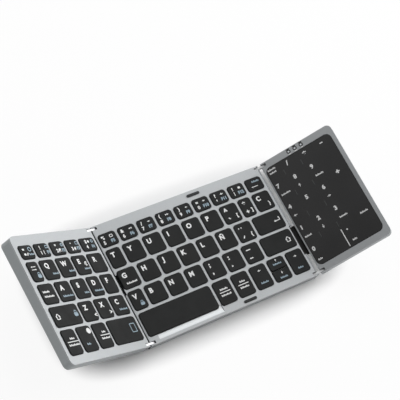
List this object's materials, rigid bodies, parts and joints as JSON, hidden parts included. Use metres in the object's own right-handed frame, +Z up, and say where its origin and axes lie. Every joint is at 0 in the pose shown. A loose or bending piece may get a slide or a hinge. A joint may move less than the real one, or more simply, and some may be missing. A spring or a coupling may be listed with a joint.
{
  "type": "folding keyboard",
  "caption": "Slim three-section folding keyboard: middle section and left wing with low keys, right wing with a touch panel, joined by double-pivot link hinges.",
  "frame": {"origin": "centre of the bounding box in X and Y, on the plane that the rubber feet stand on", "axes": "+X from the left wing to the right wing along the keys' rows, +Y from the front edge to the rear edge, +Z up from the feet"},
  "size_m": [0.288, 0.0991, 0.0539],
  "materials": {
    "casing": "satin",
    "frame": "satin",
    "cap": "matt, fine grain",
    "glass": "gloss",
    "steel_plate": "plain",
    "polished_steel": "polished",
    "screw_steel": "blackened",
    "membrane": "clear film",
    "dome_rubber": "matt",
    "black_rubber": "matt",
    "circuit_board": "satin",
    "battery_foil": "satin",
    "magnet": "nickel plate",
    "cable_film": "satin",
    "light_guide": "frosted"
  },
  "bodies": {
    "middle": {"middle_bottom_shell": "casing", "middle_top_frame": "frame", "middle_backplate": "steel_plate", "middle_membrane": "membrane", "middle_domes": "dome_rubber", "main_board": "circuit_board", "battery": "battery_foil", "charging_port": "polished_steel", "middle_hinge_pins": "polished_steel", "middle_magnets": "magnet", "middle_screws": "screw_steel", "middle_feet": "black_rubber", "closing_pads": "black_rubber"},
    "left_link": {"left_links": "polished_steel", "left_flex_cable": "cable_film"},
    "right_link": {"right_links": "polished_steel", "right_flex_cable": "cable_film"},
    "left_wing": {"left_bottom_shell": "casing", "left_top_frame": "frame", "left_backplate": "steel_plate", "left_membrane": "membrane", "left_domes": "dome_rubber", "left_hinge_pins": "polished_steel", "left_magnets": "magnet", "left_screws": "screw_steel", "left_feet": "black_rubber"},
    "right_wing": {"right_bottom_shell": "casing", "right_top_frame": "frame", "touch_panel": "glass", "sensor_board": "circuit_board", "right_hinge_pins": "polished_steel", "right_magnets": "magnet", "right_screws": "screw_steel", "right_feet": "black_rubber", "indicator_lights": "light_guide"},
    "space_bar": {"space_bar": "cap"},
    "middle_modifier_keys": {"middle_modifier_keys": "cap"},
    "left_arrow_key": {"left_arrow_key": "cap"},
    "up_arrow_key": {"up_arrow_key": "cap"},
    "down_arrow_key": {"down_arrow_key": "cap"},
    "right_arrow_key": {"right_arrow_key": "cap"},
    "middle_lower_keys": {"middle_lower_keys": "cap"},
    "right_shift_key": {"right_shift_key": "cap"},
    "middle_home_keys": {"middle_home_keys": "cap"},
    "enter_key": {"enter_key": "cap"},
    "middle_upper_keys": {"middle_upper_keys": "cap"},
    "middle_number_keys": {"middle_number_keys": "cap"},
    "left_modifier_keys": {"left_modifier_keys": "cap"},
    "left_space_key": {"left_space_key": "cap"},
    "left_shift_key": {"left_shift_key": "cap"},
    "left_lower_keys": {"left_lower_keys": "cap"},
    "caps_key": {"caps_key": "cap"},
    "left_home_keys": {"left_home_keys": "cap"},
    "tab_key": {"tab_key": "cap"},
    "left_upper_keys": {"left_upper_keys": "cap"},
    "left_number_keys": {"left_number_keys": "cap"}
  },
  "joints": [
    {"name": "left_link_hinge", "type": "hinge", "parent": "middle", "child": "left_link", "pos_m": [-0.06062, -0.04895, 0.0059], "axis": [0, 0.9998, 0.0204], "range_deg": [-15, 75]},
    {"name": "left_wing_hinge", "type": "hinge", "parent": "left_link", "child": "left_wing", "pos_m": [-0.06719, -0.04899, 0.00766], "axis": [0, 0.9998, 0.0204], "range_deg": [-15, 75]},
    {"name": "right_link_hinge", "type": "hinge", "parent": "middle", "child": "right_link", "pos_m": [0.08458, -0.04893, 0.00505], "axis": [0, -0.9998, -0.0204], "range_deg": [-18.5, 71.5]},
    {"name": "right_wing_hinge", "type": "hinge", "parent": "right_link", "child": "right_wing", "pos_m": [0.09264, -0.04899, 0.00775], "axis": [0, -0.9998, -0.0204], "range_deg": [-18.5, 71.5]},
    {"name": "space_bar_press", "type": "slide", "parent": "middle", "child": "space_bar", "axis": [0, 0.0204, -0.9998], "range_m": [0, 0.0012], "stiffness_N_per_m": 400, "springref_m": -0.0005},
    {"name": "middle_modifier_keys_press", "type": "slide", "parent": "middle", "child": "middle_modifier_keys", "axis": [0, 0.0204, -0.9998], "range_m": [0, 0.0012], "stiffness_N_per_m": 800, "springref_m": -0.0005},
    {"name": "left_arrow_key_press", "type": "slide", "parent": "middle", "child": "left_arrow_key", "axis": [0, 0.0204, -0.9998], "range_m": [0, 0.0012], "stiffness_N_per_m": 400, "springref_m": -0.0005},
    {"name": "up_arrow_key_press", "type": "slide", "parent": "middle", "child": "up_arrow_key", "axis": [0, 0.0204, -0.9998], "range_m": [0, 0.0012], "stiffness_N_per_m": 400, "springref_m": -0.0005},
    {"name": "down_arrow_key_press", "type": "slide", "parent": "middle", "child": "down_arrow_key", "axis": [0, 0.0204, -0.9998], "range_m": [0, 0.0012], "stiffness_N_per_m": 400, "springref_m": -0.0005},
    {"name": "right_arrow_key_press", "type": "slide", "parent": "middle", "child": "right_arrow_key", "axis": [0, 0.0204, -0.9998], "range_m": [0, 0.0012], "stiffness_N_per_m": 400, "springref_m": -0.0005},
    {"name": "middle_lower_keys_press", "type": "slide", "parent": "middle", "child": "middle_lower_keys", "axis": [0, 0.0204, -0.9998], "range_m": [0, 0.0012], "stiffness_N_per_m": 2800, "springref_m": -0.0005},
    {"name": "right_shift_key_press", "type": "slide", "parent": "middle", "child": "right_shift_key", "axis": [0, 0.0204, -0.9998], "range_m": [0, 0.0012], "stiffness_N_per_m": 400, "springref_m": -0.0005},
    {"name": "middle_home_keys_press", "type": "slide", "parent": "middle", "child": "middle_home_keys", "axis": [0, 0.0204, -0.9998], "range_m": [0, 0.0012], "stiffness_N_per_m": 2800, "springref_m": -0.0005},
    {"name": "enter_key_press", "type": "slide", "parent": "middle", "child": "enter_key", "axis": [0, 0.0204, -0.9998], "range_m": [0, 0.0012], "stiffness_N_per_m": 400, "springref_m": -0.0005},
    {"name": "middle_upper_keys_press", "type": "slide", "parent": "middle", "child": "middle_upper_keys", "axis": [0, 0.0204, -0.9998], "range_m": [0, 0.0012], "stiffness_N_per_m": 3600, "springref_m": -0.0005},
    {"name": "middle_number_keys_press", "type": "slide", "parent": "middle", "child": "middle_number_keys", "axis": [0, 0.0204, -0.9998], "range_m": [0, 0.0012], "stiffness_N_per_m": 3600, "springref_m": -0.0005},
    {"name": "left_modifier_keys_press", "type": "slide", "parent": "left_wing", "child": "left_modifier_keys", "axis": [-0.5, 0.0177, -0.8658], "range_m": [0, 0.0012], "stiffness_N_per_m": 1200, "springref_m": -0.0005},
    {"name": "left_space_key_press", "type": "slide", "parent": "left_wing", "child": "left_space_key", "axis": [-0.5, 0.0177, -0.8658], "range_m": [0, 0.0012], "stiffness_N_per_m": 400, "springref_m": -0.0005},
    {"name": "left_shift_key_press", "type": "slide", "parent": "left_wing", "child": "left_shift_key", "axis": [-0.5, 0.0177, -0.8658], "range_m": [0, 0.0012], "stiffness_N_per_m": 400, "springref_m": -0.0005},
    {"name": "left_lower_keys_press", "type": "slide", "parent": "left_wing", "child": "left_lower_keys", "axis": [-0.5, 0.0177, -0.8658], "range_m": [0, 0.0012], "stiffness_N_per_m": 1200, "springref_m": -0.0005},
    {"name": "caps_key_press", "type": "slide", "parent": "left_wing", "child": "caps_key", "axis": [-0.5, 0.0177, -0.8658], "range_m": [0, 0.0012], "stiffness_N_per_m": 400, "springref_m": -0.0005},
    {"name": "left_home_keys_press", "type": "slide", "parent": "left_wing", "child": "left_home_keys", "axis": [-0.5, 0.0177, -0.8658], "range_m": [0, 0.0012], "stiffness_N_per_m": 1600, "springref_m": -0.0005},
    {"name": "tab_key_press", "type": "slide", "parent": "left_wing", "child": "tab_key", "axis": [-0.5, 0.0177, -0.8658], "range_m": [0, 0.0012], "stiffness_N_per_m": 400, "springref_m": -0.0005},
    {"name": "left_upper_keys_press", "type": "slide", "parent": "left_wing", "child": "left_upper_keys", "axis": [-0.5, 0.0177, -0.8658], "range_m": [0, 0.0012], "stiffness_N_per_m": 1600, "springref_m": -0.0005},
    {"name": "left_number_keys_press", "type": "slide", "parent": "left_wing", "child": "left_number_keys", "axis": [-0.5, 0.0177, -0.8658], "range_m": [0, 0.0012], "stiffness_N_per_m": 2000, "springref_m": -0.0005}
  ],
  "couplings": [
    {"joint": "left_link_hinge", "follows": "left_wing_hinge", "ratio": 1},
    {"joint": "right_link_hinge", "follows": "right_wing_hinge", "ratio": 1}
  ]
}
